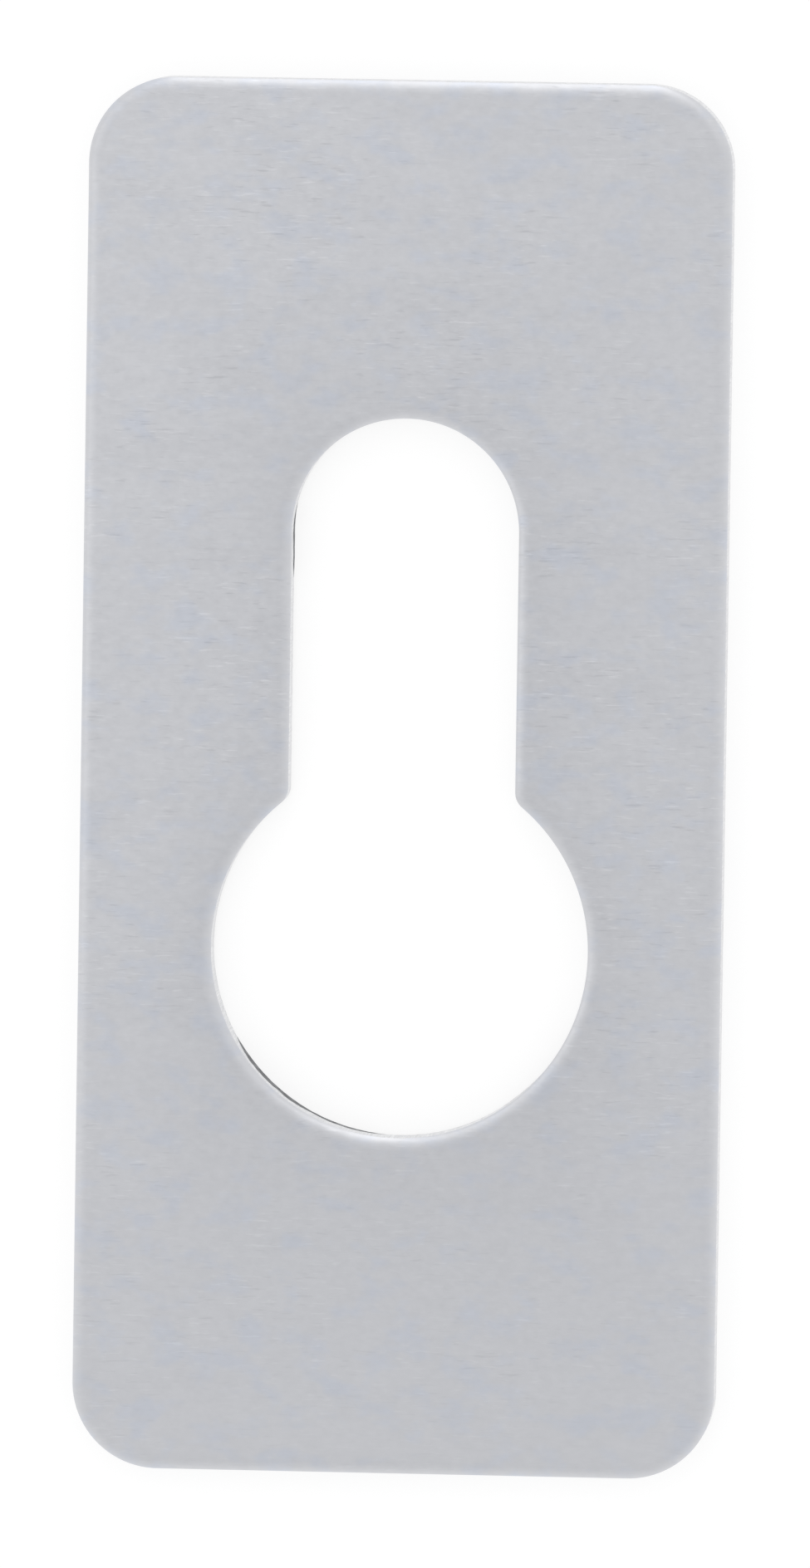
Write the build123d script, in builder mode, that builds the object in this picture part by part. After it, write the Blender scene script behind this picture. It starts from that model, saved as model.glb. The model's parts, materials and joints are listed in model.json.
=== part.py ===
from build123d import *
import os

# Keyhole escutcheon: one flat plate punched out of sheet metal, with an opening for a profile
# lock cylinder. The plate lies on its back. The origin is on the axis of the cylinder's round
# barrel, in the plane of the back face. +Z leaves the visible face, +Y runs from the barrel
# towards the tip of the web, and +X is to the right when the face is looked at. Millimetres.

# Plate
plate_width = 30.0
plate_height = 65.0
plate_thickness = 2.0
corner_radius = 4.0

# Shallow roll that the punch leaves along every front edge: how far it reaches onto the face, and
# how far it drops before it ends at the wall in a crisp edge
edge_roll_width = 0.63
edge_roll_depth = 0.1

# Profile lock cylinder that stands in the opening: a round barrel with a flat web on one side
barrel_diameter = 17.0
web_width = 10.0
cylinder_height = 33.0
cylinder_clearance = 0.3

# Rounding of the two shoulders where the web's slot meets the barrel's bore
shoulder_radius = 0.9

# Opening, worked out from the cylinder that stands in it
bore_radius = barrel_diameter / 2 + cylinder_clearance
slot_width = web_width + 2 * cylinder_clearance
slot_end_y = cylinder_height - barrel_diameter / 2 - web_width / 2
opening_top_y = slot_end_y + slot_width / 2
opening_bottom_y = -bore_radius

# The opening sits in the middle of the plate
plate_middle_y = (opening_top_y + opening_bottom_y) / 2

# The section that is cut off a front edge stands this far past the wall and above the face
cut_overhang = edge_roll_depth

os.makedirs("parts", exist_ok=True)

with BuildPart() as escutcheon_plate:
    # Blank with four round corners
    with BuildSketch():
        with Locations((0, plate_middle_y)):
            RectangleRounded(plate_width, plate_height, corner_radius)
    extrude(amount=plate_thickness)

    # Keyhole-shaped opening: a round bore with a round-ended slot that starts at its centre
    with BuildSketch() as opening:
        Circle(bore_radius)
        with Locations((0, slot_end_y / 2)):
            SlotCenterToCenter(slot_end_y, slot_width, rotation=90)
        shoulders = opening.vertices().group_by(Axis.Y)[-2]
        fillet(shoulders, radius=shoulder_radius)
    extrude(amount=plate_thickness, mode=Mode.SUBTRACT)

    # Front edges, outside and inside: the section above the roll is cut off along each outline of the
    # front face, square to the outline where that starts
    front_face = escutcheon_plate.faces().sort_by(Axis.Z)[-1]
    for outline in front_face.wires():
        along = outline % 0
        into_metal = front_face.normal_at().cross(along)
        with BuildSketch(Plane(outline @ 0, x_dir=into_metal, z_dir=along)):
            with BuildLine():
                roll = TangentArc((edge_roll_width, 0), (0, -edge_roll_depth), tangent=(-1, 0))
                Polyline(
                    roll @ 1,
                    (-cut_overhang, -edge_roll_depth),
                    (-cut_overhang, cut_overhang),
                    (edge_roll_width, cut_overhang),
                    roll @ 0,
                )
            make_face()
        sweep(path=outline, mode=Mode.SUBTRACT)

escutcheon_plate.part.label = "escutcheon_plate"
export_step(escutcheon_plate.part, "parts/escutcheon_plate.step")
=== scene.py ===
import json
import math
from collections import namedtuple

import bpy
from mathutils import Matrix, Vector, noise


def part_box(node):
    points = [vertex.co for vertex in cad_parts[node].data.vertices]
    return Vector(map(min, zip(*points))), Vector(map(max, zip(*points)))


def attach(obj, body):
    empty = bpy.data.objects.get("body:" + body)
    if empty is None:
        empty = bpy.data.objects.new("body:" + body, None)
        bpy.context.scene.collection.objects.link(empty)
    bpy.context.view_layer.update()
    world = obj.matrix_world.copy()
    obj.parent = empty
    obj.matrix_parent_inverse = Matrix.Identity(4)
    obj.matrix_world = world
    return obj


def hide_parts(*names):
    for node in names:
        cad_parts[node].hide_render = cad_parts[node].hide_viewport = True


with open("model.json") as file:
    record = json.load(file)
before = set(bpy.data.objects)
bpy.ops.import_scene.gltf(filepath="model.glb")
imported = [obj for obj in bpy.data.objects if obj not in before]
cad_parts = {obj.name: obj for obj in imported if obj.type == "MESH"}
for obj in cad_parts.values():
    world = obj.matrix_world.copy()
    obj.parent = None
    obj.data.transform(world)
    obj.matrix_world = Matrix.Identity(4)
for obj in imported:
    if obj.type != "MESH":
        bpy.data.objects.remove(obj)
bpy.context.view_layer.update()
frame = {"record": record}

# Keyhole escutcheon of brushed aluminium, with lengths in millimetres where nothing else is said
MM = 0.001
PLATE = "escutcheon_plate"
WHITE = (1, 1, 1, 1)

# Plate, as in the CAD
plate_low, plate_high = (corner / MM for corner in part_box(PLATE))
plate_middle = (plate_low + plate_high) / 2
corner_radius = 4.0

# Profile lock cylinder that stands in the opening: a round barrel with a flat web on one side
barrel_diameter = 17.0
web_width = 10.0
cylinder_height = 33.0

# Opening, as in the CAD: a bore round the barrel, and a round-ended slot for the web
bore_radius = frame["record"]["mounts"][0]["dims"]["r_mm"]
cylinder_clearance = bore_radius - barrel_diameter / 2
slot_width = web_width + 2 * cylinder_clearance
slot_end_y = cylinder_height - barrel_diameter / 2 - web_width / 2
shoulder_radius = 0.9

# Front edge: a shallow roll along an ellipse, which ends at the wall in a crisp edge
roll_reach = 0.68  # half axis of the ellipse along the face
roll_drop = 0.155  # half axis of the ellipse towards the back
roll_turn = math.radians(68)
roll_steps = 14
roll_width = roll_reach * math.sin(roll_turn)
roll_depth = roll_drop * (1 - math.cos(roll_turn))
crisp_angle = math.radians(25)

# Wall: straight, with its back edge broken
wall_steps = 5
back_break = 0.05

# Torn edge of the opening: a low rim at the back, which in places rises up the wall as a tear
torn_least = 0.15
torn_height = 1.15
torn_proud = 0.03  # how far the foot of a tear stands out of the wall
torn_relief = 0.01
torn_grain = 0.16
torn_steps = 6
tear_falloff = 3  # power of the distance by which a tear gets lower towards its ends

# Ragged top of the tears: a fractal noise
wander_height = 0.28
wander_length = 0.75
wander_increment = 0.7
wander_gap = 2.0
wander_octaves = 3

# Skin: points round each outline, rings across the face, and a narrow band that keeps a flat face flat
outline_points = 640
face_rings = 6
support = 0.05

# Materials by their place in the mesh
FACE, WALL, TORN_AND_SHADE, BACK = range(4)

# Mesh attributes
ROLLED = "rolled"  # how far over the roll a point lies, from 0 on the face to 1 at the wall
INWARD = "inward"  # how far a point lies from the plate's edge towards the opening, from 0 to 1

# Noise textures: their mean, where most values lie, and the way in which one texture lies off another
noise_mean = 0.5
noise_span = (0.3, 0.7)
noise_roughness = 0.55
noise_way = (1.0, 0.7, 0.3)

# Camera: how far it stands off the plate's normal, to the right and to the top, and where it looks
camera_right_deg = 4.0
camera_up_deg = 4.0
camera_roll_deg = 0.842
camera_distance = 1000.0
aim_off_middle = Vector((0.09, -0.3, 0.0))
camera_aim = plate_middle + aim_off_middle
camera_near = 10.0
camera_far = 10000.0
sensor_width = 36.0

# Photograph: its height in pixels, and its scale on the plate
photo_height = 1888
pixels_per_mm = 25.83

# Floor: just under the plate, dull for the light on surfaces, and lifted to white where it is seen
floor_gap = 0.02
floor_reach = 3000.0
floor_grey = (0.24, 0.24, 0.24, 1)
floor_lift = 0.78


# Outlines: each stretch has a length, and gives the point at a share of it and the way into the metal

def arc(centre, radius, start_deg, end_deg, metal_side):
    """metal_side is 1 where the metal lies outside the arc, -1 where it lies inside."""
    def at(share):
        angle = math.radians(start_deg + (end_deg - start_deg) * share)
        outward = Vector((math.cos(angle), math.sin(angle)))
        return centre + radius * outward, metal_side * outward
    return math.radians(abs(end_deg - start_deg)) * radius, at


def run(start, end, into_metal):
    return (end - start).length, lambda share: (start.lerp(end, share), into_metal)


def evenly_spaced(stretches):
    """Points at equal steps along the stretches, each with the way into the metal."""
    step = sum(length for length, at in stretches) / outline_points
    points = []
    ahead = 0.0
    for length, at in stretches:
        while ahead < length and len(points) < outline_points:
            points.append(at(ahead / length))
            ahead += step
        ahead -= length
    return points


def plate_outline():
    """Counterclockwise from the middle of the top."""
    top = Vector((plate_middle.x, plate_high.y))
    reach = (plate_high.xy - plate_low.xy) / 2 - Vector((corner_radius, corner_radius))
    signs = ((-1, 1), (-1, -1), (1, -1), (1, 1))
    stretches = []
    start = top
    outward = Vector((0, 1))
    for i, (sx, sy) in enumerate(signs):
        centre = plate_middle.xy + Vector((sx * reach.x, sy * reach.y))
        stretches.append(run(start, centre + corner_radius * outward, -outward))
        stretches.append(arc(centre, corner_radius, 90 + 90 * i, 180 + 90 * i, -1))
        outward = Vector((-outward.y, outward.x))
        start = centre + corner_radius * outward
    stretches.append(run(start, top, -outward))
    return evenly_spaced(stretches)


def opening_outline():
    """Counterclockwise from the top of the slot."""
    half = slot_width / 2
    shoulder_x = half + shoulder_radius
    shoulder_y = math.sqrt((bore_radius + shoulder_radius) ** 2 - shoulder_x ** 2)
    meet_deg = math.degrees(math.atan2(shoulder_y, shoulder_x))
    slot_end = Vector((0, slot_end_y))
    right = Vector((1, 0))
    return evenly_spaced([
        arc(slot_end, half, 90, 180, 1),
        run(Vector((-half, slot_end_y)), Vector((-half, shoulder_y)), -right),
        arc(Vector((-shoulder_x, shoulder_y)), shoulder_radius, 0, -meet_deg, -1),
        arc(Vector((0, 0)), bore_radius, 180 - meet_deg, 360 + meet_deg, 1),
        arc(Vector((shoulder_x, shoulder_y)), shoulder_radius, 180 + meet_deg, 180, -1),
        run(Vector((half, shoulder_y)), Vector((half, slot_end_y)), right),
        arc(slot_end, half, 0, 90, 1),
    ])


# Profile of an edge: steps with an inset, a height, how far that follows a tear, and the material up to it

Step = namedtuple("Step", "inset height follows material")


def front_edge():
    """The end of the flat face, and the roll down to the wall."""
    steps = [Step(roll_width + support, plate_high.z, 0.0, FACE)]
    for i in range(roll_steps + 1):
        angle = roll_turn * i / roll_steps
        inset = roll_width - roll_reach * math.sin(angle)
        height = plate_high.z - roll_drop * (1 - math.cos(angle))
        steps.append(Step(inset, height, 0.0, FACE))
    return steps


def wall(count, top, bottom, follows_top, follows_bottom, material):
    """Steps below the top, down to the bottom."""
    steps = []
    for i in range(1, count + 1):
        share = i / count
        height = top + (bottom - top) * share
        steps.append(Step(0.0, height, follows_top + (follows_bottom - follows_top) * share, material))
    return steps


def back_edge(material):
    """The broken edge, and the start of the flat back."""
    steps = [Step(back_break, plate_low.z, 0.0, material)]
    steps.append(Step(back_break + support, plate_low.z, 0.0, BACK))
    return steps


def outer_profile():
    top, bottom = plate_high.z - roll_depth, plate_low.z + back_break
    return front_edge() + wall(wall_steps, top, bottom, 0, 0, WALL) + back_edge(WALL)


def opening_profile():
    top, bottom = plate_high.z - roll_depth, plate_low.z + back_break
    land = wall(wall_steps, top, torn_least, 0, 1, WALL)
    torn = wall(torn_steps, torn_least, bottom, 1, 0, TORN_AND_SHADE)
    return front_edge() + land + torn + back_edge(TORN_AND_SHADE)


# Tears of the opening's wall: the middle, how far each reaches from there, and its share of the full height

Tear = namedtuple("Tear", "middle reach share")


def on_bore(angle_deg):
    angle = math.radians(angle_deg)
    return bore_radius * Vector((math.cos(angle), math.sin(angle)))


def in_left_of_slot(below_end):
    return Vector((-slot_width / 2, slot_end_y - below_end))


# The tears lift the torn zone up the wall at these places, and with it the painted shade in its dark
# colour.
tears = (
    Tear(on_bore(220.5), reach=1.7, share=0.9),
    Tear(on_bore(228.5), reach=2.85, share=0.86),
    Tear(on_bore(248.5), reach=2.6, share=0.53),
    Tear(on_bore(320), reach=3.0, share=0.32),
    Tear(in_left_of_slot(0.55), reach=1.8, share=0.75),
)


def tearing(point):
    """From 0 where the opening's wall is sheared cleanly to 1 where a tear has the full height."""
    most = 0.0
    for tear in tears:
        distance = (point - tear.middle).length / tear.reach
        most = max(most, tear.share * (1 - distance ** tear_falloff))
    return most


def raggedness(point):
    place = Vector((point.x, point.y, 0)) / wander_length
    return wander_height * noise.fractal(place, wander_increment, wander_gap, wander_octaves)


# Plate: one closed skin, made of columns of points that run round the metal

def edge_column(point, into_metal, profile):
    """The points of a profile at one point of the outline."""
    torn = tearing(point)
    rise = torn * (torn_height - torn_least + raggedness(point))
    column = []
    for inset, height, follows, material in profile:
        if material == TORN_AND_SHADE:
            crumbs = noise.noise(Vector((point.x, point.y, height)) / torn_grain)
            inset += torn_relief * (1 + crumbs) - torn_proud * torn * (1 - follows)
        place = point + inset * into_metal
        column.append(Vector((place.x, place.y, height + rise * follows)))
    return column


def between(start, end, count):
    """The points that part the way from start to end into that many stretches."""
    return [start.lerp(end, i / count) for i in range(1, count)]


def skin():
    """Columns of points, and for each row its two attributes and the material up to the next row."""
    outside, inside = outer_profile(), opening_profile()
    columns = []
    for outer, inner in zip(plate_outline(), opening_outline()):
        outer_edge = edge_column(*outer, outside)[::-1]
        inner_edge = edge_column(*inner, inside)
        face = between(outer_edge[-1], inner_edge[0], face_rings)
        back = between(inner_edge[-1], outer_edge[0], face_rings)
        columns.append(outer_edge + face + inner_edge + back)
    flat = [0.0] * (face_rings - 1)
    rolls = [[max(0.0, 1 - step.inset / roll_width) for step in profile] for profile in (outside, inside)]
    rolled = rolls[0][::-1] + flat + rolls[1] + flat
    across = [i / face_rings for i in range(1, face_rings)]
    inward = [0.0] * len(outside) + across + [1.0] * len(inside) + across[::-1]
    materials = [step.material for step in outside[:0:-1]] + [FACE] * face_rings
    materials += [step.material for step in inside[1:]] + [BACK] * face_rings
    return columns, {ROLLED: rolled, INWARD: inward}, materials


def skin_mesh():
    columns, attributes, materials = skin()
    rows = len(materials)
    vertices = [point * MM for column in columns for point in column]
    faces = []
    for i in range(len(columns)):
        here, there = i * rows, (i + 1) % len(columns) * rows
        for j in range(rows):
            k = (j + 1) % rows
            faces.append((here + j, there + j, there + k, here + k))
    mesh = bpy.data.meshes.new("keyhole_plate")
    mesh.from_pydata(vertices, [], faces)
    mesh.polygons.foreach_set("material_index", materials * len(columns))
    for name, values in attributes.items():
        mesh.attributes.new(name, "FLOAT", "POINT").data.foreach_set("value", values * len(columns))
    mesh.shade_smooth()
    mesh.set_sharp_from_angle(angle=crisp_angle)
    return mesh


def keyhole_plate():
    mesh = skin_mesh()
    for material in (brushed_face(), sheared_wall(), torn_and_shaded_wall(), rolled_back()):
        mesh.materials.append(material)
    plate = bpy.data.objects.new("keyhole_plate", mesh)
    bpy.context.scene.collection.objects.link(plate)
    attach(plate, "root")
    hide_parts(PLATE)


# Node helpers

def add(tree, kind, **settings):
    node = tree.nodes.new(kind)
    for name, value in settings.items():
        setattr(node, name, value)
    return node


def feed(tree, source, target):
    tree.links.new(source, target)


def grain(tree, position, size_mm, place, detail=2.0):
    """Noise whose grains have about that size in millimetres along X, Y and Z."""
    mapping = add(tree, "ShaderNodeMapping")
    mapping.inputs["Location"].default_value = [place * share for share in noise_way]
    mapping.inputs["Scale"].default_value = [1 / (size * MM) for size in size_mm]
    texture = add(tree, "ShaderNodeTexNoise")
    texture.inputs["Scale"].default_value = 1.0
    texture.inputs["Detail"].default_value = detail
    texture.inputs["Roughness"].default_value = noise_roughness
    feed(tree, position, mapping.inputs["Vector"])
    feed(tree, mapping.outputs["Vector"], texture.inputs["Vector"])
    return texture.outputs["Fac"]


def attribute(tree, name):
    return add(tree, "ShaderNodeAttribute", attribute_name=name).outputs["Fac"]


def arithmetic(tree, operation, a, b):
    node = add(tree, "ShaderNodeMath", operation=operation)
    for socket, value in zip(node.inputs, (a, b)):
        if isinstance(value, (int, float)):
            socket.default_value = value
        else:
            feed(tree, value, socket)
    return node.outputs["Value"]


def weighted(tree, *parts):
    """The sum of values, each times its weight."""
    total = None
    for value, weight in parts:
        part = arithmetic(tree, "MULTIPLY", value, weight)
        total = part if total is None else arithmetic(tree, "ADD", total, part)
    return total


def spread(tree, value, source, target):
    """The value, with the span source laid over the span target and cut off at its ends."""
    node = add(tree, "ShaderNodeMapRange")
    for name, number in zip(("From Min", "From Max", "To Min", "To Max"), (*source, *target)):
        node.inputs[name].default_value = number
    feed(tree, value, node.inputs["Value"])
    return node.outputs["Result"]


def tones(tree, value, dark, light, span=noise_span):
    """Colours from dark to light over the span."""
    node = add(tree, "ShaderNodeValToRGB")
    for element, place, colour in zip(node.color_ramp.elements, span, (dark, light)):
        element.position = place
        element.color = (*colour, 1)
    feed(tree, value, node.inputs["Fac"])
    return node.outputs["Color"]


def metal(name, metallic=1.0):
    material = bpy.data.materials.new(name)
    material.use_nodes = True
    tree = material.node_tree
    shader = tree.nodes["Principled BSDF"]
    shader.inputs["Metallic"].default_value = metallic
    position = add(tree, "ShaderNodeTexCoord").outputs["Object"]
    return material, tree, shader, position


def coat(tree, shader, colour, roughness):
    feed(tree, colour, shader.inputs["Base Color"])
    feed(tree, roughness, shader.inputs["Roughness"])


def relief(tree, shader, height, depth_mm):
    bump = add(tree, "ShaderNodeBump")
    bump.inputs["Distance"].default_value = depth_mm * MM
    feed(tree, height, bump.inputs["Height"])
    feed(tree, bump.outputs["Normal"], shader.inputs["Normal"])


# Materials

def hairlines(tree, position):
    """Sparse short lines across the plate, bright above 0 and dark below it, stronger in some places."""
    peaks, whole = (0.6, 0.74), (0.0, 1.0)
    bright = spread(tree, grain(tree, position, size_mm=(0.95, 0.13, 0.13), place=1.3), peaks, whole)
    dark = spread(tree, grain(tree, position, size_mm=(1.1, 0.14, 0.14), place=9.6), peaks, whole)
    places = grain(tree, position, size_mm=(9.0, 6.0, 6.0), place=2.2, detail=1.0)
    strength = spread(tree, places, (0.4, 0.6), (0.3, 1.0))
    return arithmetic(tree, "MULTIPLY", arithmetic(tree, "SUBTRACT", bright, dark), strength)


def brush_marks(tree, position):
    """Fine grains, soft patches and hairlines, round 0 and fainter towards the plate's lower end."""
    grain_weight, patch_weight, hairline_weight = 0.28, 0.13, 0.21
    faintest = 0.68
    grains = grain(tree, position, size_mm=(0.5, 0.32, 0.32), place=7.9)
    patches = grain(tree, position, size_mm=(5.0, 2.2, 2.2), place=4.1)
    lines = hairlines(tree, position)
    mean = noise_mean * (grain_weight + patch_weight)
    parts = ((grains, grain_weight), (patches, patch_weight), (lines, hairline_weight), (1.0, -mean))
    along = add(tree, "ShaderNodeSeparateXYZ")
    feed(tree, position, along.inputs["Vector"])
    lower_half = (plate_low.y * MM, plate_middle.y * MM)
    strength = spread(tree, along.outputs["Y"], lower_half, (faintest, 1.0))
    return arithmetic(tree, "MULTIPLY", weighted(tree, *parts), strength)


def bloomed(tree, position, colour):
    """The colour, with faint bluish blooms."""
    clear, bluish = (1.0, 1.0, 1.0), (0.955, 0.98, 1.025)
    blooms = grain(tree, position, size_mm=(1.7, 1.15, 1.15), place=3.4)
    tint = add(tree, "ShaderNodeMix", data_type="RGBA", blend_type="MULTIPLY")
    tint.inputs["Factor"].default_value = 1.0
    feed(tree, colour, tint.inputs["A"])
    feed(tree, tones(tree, blooms, clear, bluish, span=(0.5, 0.68)), tint.inputs["B"])
    return tint.outputs["Result"]


def brushed_face():
    """A satin ground with brush marks, with painted shade darkening it towards the opening, and lighter on
    the rolled edges, partly from burnishing and partly as a painted highlight.
    """
    plain_tone, rim_burnish_and_highlight_tone, inner_painted_shade_tone = 0.24, 0.62, -0.09
    rim_burnish_and_highlight_power, inner_painted_shade_power = 2.2, 2.0
    dark, light = (0.457, 0.463, 0.487), (0.691, 0.697, 0.721)
    material, tree, shader, position = metal("brushed_aluminium_face")
    shader.inputs["Specular Tint"].default_value = (0.72, 0.72, 0.74, 1)
    marks = brush_marks(tree, position)
    # The rolled edges get a lighter base colour: partly real burnish, partly a painted highlight of the
    # rim.
    rim_burnish_and_highlight = arithmetic(tree, "POWER", attribute(tree, ROLLED), rim_burnish_and_highlight_power)
    # Darker towards the opening: painted shade that stands in for the dimmer reflection over the middle of
    # the plate.
    inner_painted_shade = arithmetic(tree, "POWER", attribute(tree, INWARD), inner_painted_shade_power)
    tone = weighted(tree, (marks, 1.0), (1.0, plain_tone), (rim_burnish_and_highlight, rim_burnish_and_highlight_tone), (inner_painted_shade, inner_painted_shade_tone))
    colour = bloomed(tree, position, tones(tree, tone, dark, light, span=(0.0, 1.0)))
    coat(tree, shader, colour, roughness=spread(tree, tone, (0.0, 0.6), (0.5, 0.28)))
    relief(tree, shader, marks, depth_mm=0.01)
    return material


def sheared_wall():
    """A bright land with upright score marks."""
    dark, light = (0.62, 0.626, 0.645), (0.76, 0.766, 0.785)
    score_weight, band_weight = 0.7, 0.3
    material, tree, shader, position = metal("sheared_aluminium_wall")
    scores = grain(tree, position, size_mm=(0.07, 0.07, 2.5), place=2.7)
    bands = grain(tree, position, size_mm=(0.6, 0.6, 4.0), place=8.8)
    marks = weighted(tree, (scores, score_weight), (bands, band_weight))
    coat(tree, shader, tones(tree, marks, dark, light), spread(tree, marks, noise_span, (0.3, 0.16)))
    relief(tree, shader, marks, depth_mm=0.004)
    return material


def torn_and_shaded_wall():
    """The dull, crumbly part of the opening's wall, where the sheet broke away; its near-black colour is
    partly painted shade of the contact shadow at the wall's foot.
    """
    # Dark tones: a real dull fracture, darkened further as painted shade of the contact shadow at the
    # wall's foot.
    dark, light = (0.13, 0.132, 0.138), (0.38, 0.386, 0.398)
    crumb_weight, lump_weight = 0.45, 0.55
    material, tree, shader, position = metal("torn_and_shaded_aluminium_wall", metallic=0.5)
    crumbs = grain(tree, position, size_mm=(0.14, 0.14, 0.1), place=5.3, detail=3.0)
    lumps = grain(tree, position, size_mm=(0.5, 0.5, 0.35), place=1.9)
    marks = weighted(tree, (crumbs, crumb_weight), (lumps, lump_weight))
    colour = tones(tree, marks, dark, light, span=(0.34, 0.66))
    coat(tree, shader, colour, roughness=spread(tree, marks, noise_span, (0.85, 0.65)))
    relief(tree, shader, crumbs, depth_mm=0.015)
    return material


def rolled_back():
    """The sheet's mill finish, with rolling lines along the plate."""
    dark, light = (0.48, 0.485, 0.50), (0.60, 0.605, 0.62)
    material, tree, shader, position = metal("rolled_aluminium_back")
    lines = grain(tree, position, size_mm=(0.2, 12.0, 0.2), place=6.1, detail=3.0)
    coat(tree, shader, tones(tree, lines, dark, light), spread(tree, lines, noise_span, (0.45, 0.3)))
    relief(tree, shader, lines, depth_mm=0.002)
    return material


# Studio

def white_world():
    world = bpy.data.worlds.new("studio")
    world.use_nodes = True
    background = world.node_tree.nodes["Background"]
    background.inputs["Color"].default_value = WHITE
    background.inputs["Strength"].default_value = 1.0
    bpy.context.scene.world = world


def seen_directly(tree):
    """1 where a camera, glossy or transmission ray arrives, 0 for the light that falls on surfaces."""
    path = add(tree, "ShaderNodeLightPath")
    either = arithmetic(tree, "MAXIMUM", path.outputs["Is Camera Ray"], path.outputs["Is Glossy Ray"])
    return arithmetic(tree, "MAXIMUM", either, path.outputs["Is Transmission Ray"])


def floor_paper():
    material = bpy.data.materials.new("white_floor")
    material.use_nodes = True
    tree = material.node_tree
    tree.nodes.remove(tree.nodes["Principled BSDF"])
    paper = add(tree, "ShaderNodeBsdfDiffuse")
    paper.inputs["Color"].default_value = floor_grey
    lift = add(tree, "ShaderNodeEmission")
    lift.inputs["Color"].default_value = WHITE
    feed(tree, arithmetic(tree, "MULTIPLY", seen_directly(tree), floor_lift), lift.inputs["Strength"])
    both = add(tree, "ShaderNodeAddShader")
    feed(tree, paper.outputs[0], both.inputs[0])
    feed(tree, lift.outputs[0], both.inputs[1])
    feed(tree, both.outputs[0], tree.nodes["Material Output"].inputs["Surface"])
    return material


def white_floor():
    reach = floor_reach * MM
    z = (plate_low.z - floor_gap) * MM
    corners = [(-reach, -reach, z), (reach, -reach, z), (reach, reach, z), (-reach, reach, z)]
    mesh = bpy.data.meshes.new("floor")
    mesh.from_pydata(corners, [], [(0, 1, 2, 3)])
    mesh.materials.append(floor_paper())
    floor = bpy.data.objects.new("floor", mesh)
    bpy.context.scene.collection.objects.link(floor)


def softbox(name, place, width, height, radiance):
    """A lamp that faces the plate's middle, with its place from there and its size in metres."""
    lamp = bpy.data.lights.new(name, "AREA")
    lamp.shape = "RECTANGLE"
    lamp.size = width
    lamp.size_y = height
    lamp.energy = radiance * math.pi * width * height
    holder = bpy.data.objects.new(name, lamp)
    holder.location = plate_middle * MM + Vector(place)
    holder.rotation_mode = "QUATERNION"
    holder.rotation_quaternion = (-Vector(place)).to_track_quat("-Z", "Y")
    bpy.context.scene.collection.objects.link(holder)


def camera():
    data = bpy.data.cameras.new("camera")
    data.sensor_width = sensor_width
    data.lens = pixels_per_mm * camera_distance * sensor_width / photo_height
    data.clip_start = camera_near * MM
    data.clip_end = camera_far * MM
    holder = bpy.data.objects.new("camera", data)
    lean = (camera_right_deg, camera_up_deg)
    back = Vector((*(math.tan(math.radians(angle)) for angle in lean), 1)).normalized()
    right = Vector((0, 1, 0)).cross(back).normalized()
    turn = Matrix((right, back.cross(right), back)).transposed().to_4x4()
    roll = Matrix.Rotation(math.radians(camera_roll_deg), 4, "Z")
    place = (camera_aim + back * camera_distance) * MM
    holder.matrix_world = Matrix.Translation(place) @ turn @ roll
    bpy.context.scene.collection.objects.link(holder)
    bpy.context.scene.camera = holder


keyhole_plate()
white_world()
white_floor()
softbox("key", place=(0.0, 0.56, 0.98), width=0.25, height=0.95, radiance=0.86)
softbox("overhead", place=(-0.055, 0.015, 0.15), width=0.09, height=0.05, radiance=0.3)
camera()
bpy.context.scene.view_settings.view_transform = "Standard"
